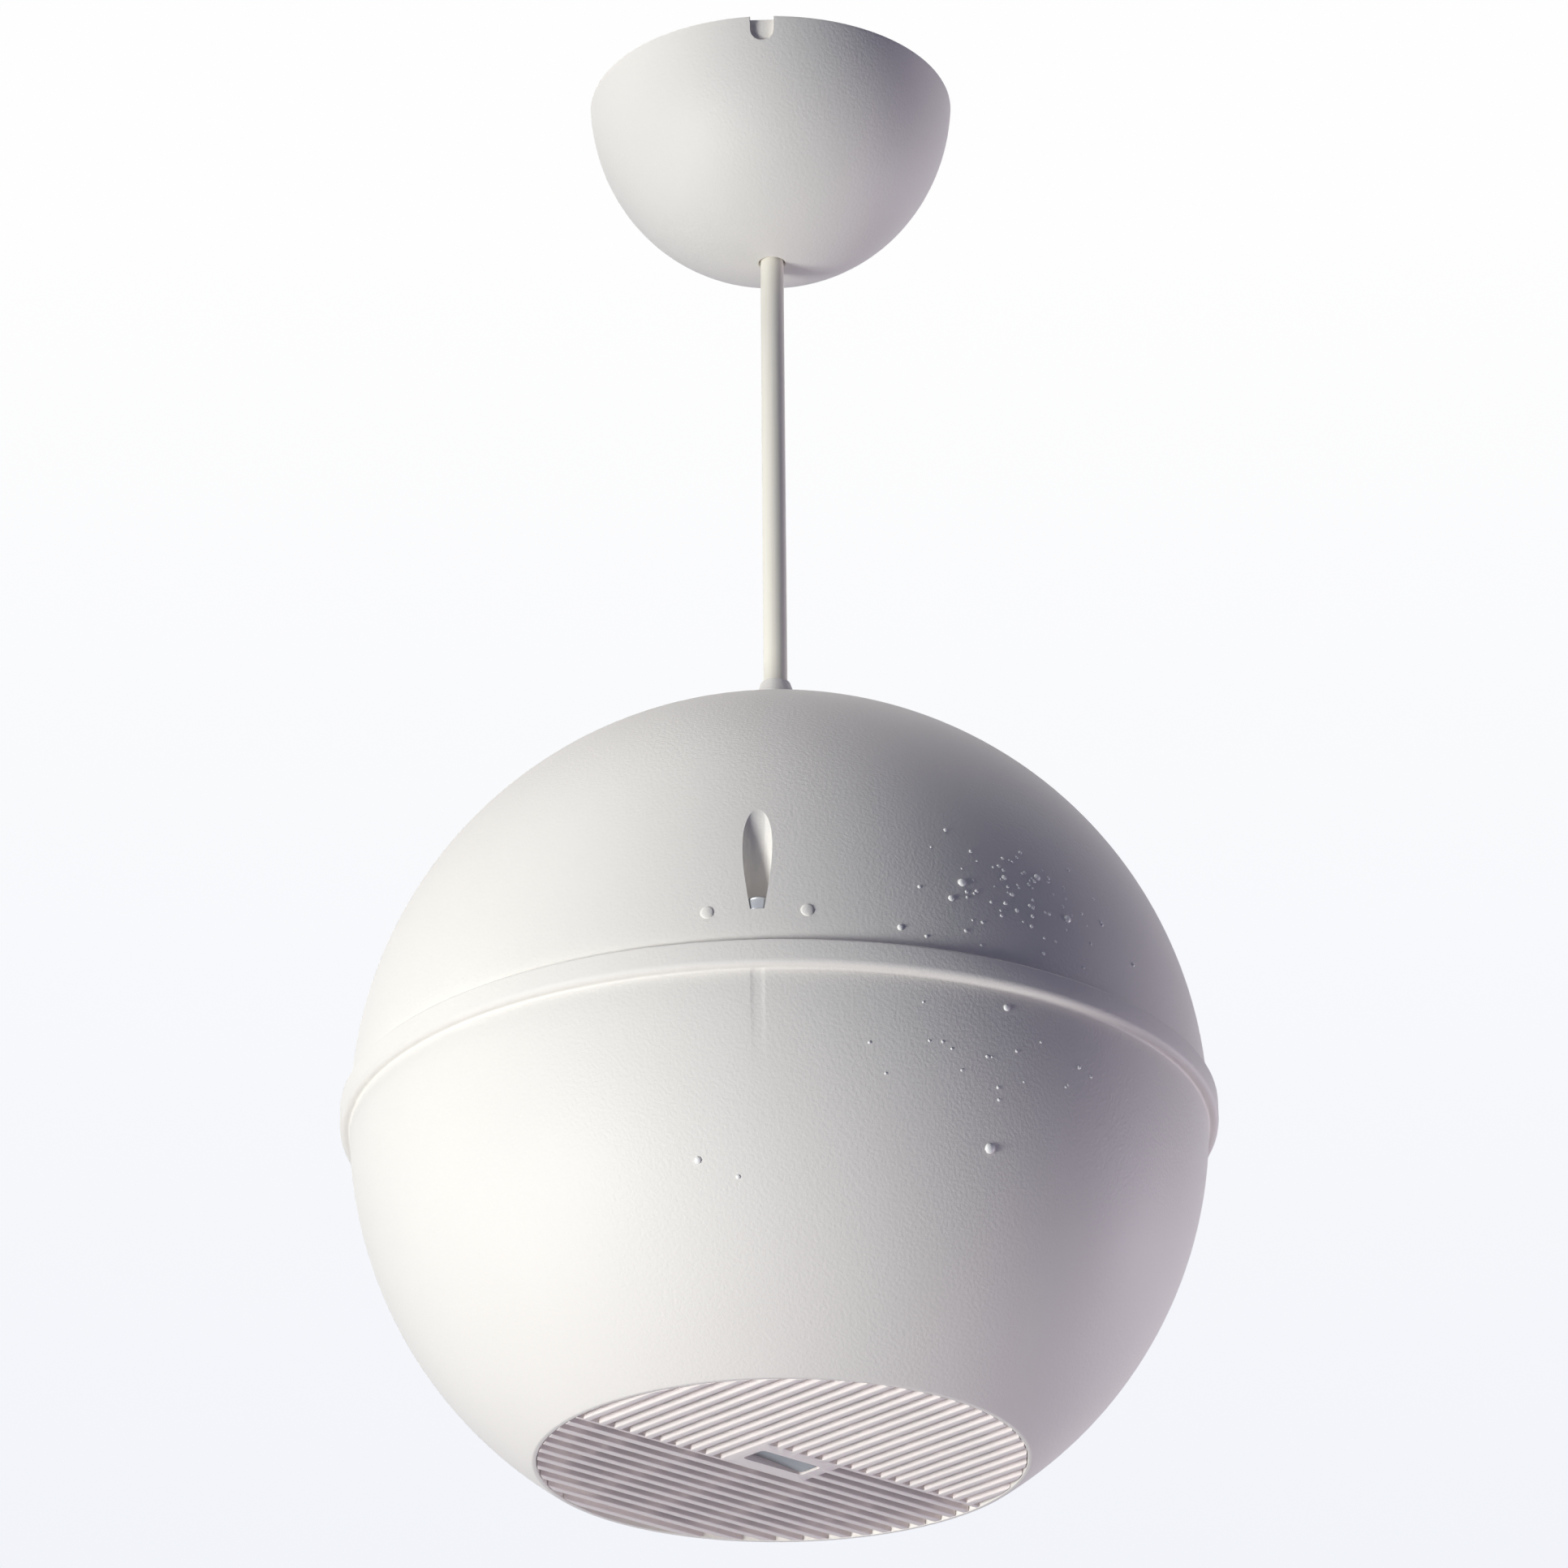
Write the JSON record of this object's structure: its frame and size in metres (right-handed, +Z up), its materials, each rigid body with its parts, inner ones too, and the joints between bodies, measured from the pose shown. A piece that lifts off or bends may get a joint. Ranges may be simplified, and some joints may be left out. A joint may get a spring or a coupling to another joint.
{
  "type": "pendant speaker",
  "caption": "Ball-shaped pendant loudspeaker with a ribbed flat grille, hung on its cord from a domed ceiling cup.",
  "frame": {"origin": "on the axis of the ball and cord, in the ceiling plane where the rim of the cup and the bracket lie", "axes": "+Z up out of the ceiling cup, -Y towards the cup's notch and the first screw well, +X along the ceiling bracket"},
  "size_m": [0.1882, 0.1882, 0.3292],
  "materials": {
    "ball_plastic": "fine spark-eroded grain, satin off-white",
    "cord_pvc": "smooth cream PVC",
    "zinc_steel": "zinc plated",
    "brass": "turned",
    "black_rubber": "moulded",
    "grille_cloth": "open weave",
    "badge_metal": "satin, plain",
    "cone_paper": "pressed pulp",
    "ferrite": "ground ferrite",
    "basket_steel": "black painted",
    "coil_tape": "amber insulating tape",
    "board": "phenolic board",
    "core_steel": "varnished laminations",
    "white_nylon": "moulded nylon",
    "lead_pvc": "insulated lead",
    "felt": "needled felt"
  },
  "bodies": {
    "root": {"ceiling_cup": "ball_plastic", "cup_grommet": "black_rubber", "ceiling_bracket": "zinc_steel", "cord_saddle": "white_nylon", "saddle_screws": "zinc_steel", "terminal_block": "white_nylon", "terminal_inserts": "brass", "terminal_screws": "zinc_steel", "block_screw": "zinc_steel", "cord": "cord_pvc", "ceiling_leads": "lead_pvc", "cord_gland": "ball_plastic", "gland_nut": "white_nylon", "cord_stop": "zinc_steel", "stop_screws": "zinc_steel", "upper_shell": "ball_plastic", "lower_shell": "ball_plastic", "shell_seal": "black_rubber", "shell_screws": "zinc_steel", "front_grille": "ball_plastic", "badge_plate": "badge_metal", "grille_cloth": "grille_cloth", "grille_screws": "zinc_steel", "driver_gasket": "black_rubber", "driver_basket": "basket_steel", "driver_screws": "zinc_steel", "top_plate": "zinc_steel", "driver_magnet": "ferrite", "yoke_and_pole": "zinc_steel", "voice_coil": "coil_tape", "driver_cone": "cone_paper", "driver_surround": "black_rubber", "spider": "coil_tape", "dust_cap": "cone_paper", "tag_board": "board", "solder_tags": "brass", "chassis_bar": "zinc_steel", "bar_screws": "zinc_steel", "transformer_core": "core_steel", "transformer_coil": "coil_tape", "transformer_clamp": "zinc_steel", "transformer_screws": "zinc_steel", "tap_block": "white_nylon", "supply_leads": "lead_pvc", "driver_leads": "lead_pvc", "damping_felt": "felt"}
  },
  "joints": []
}
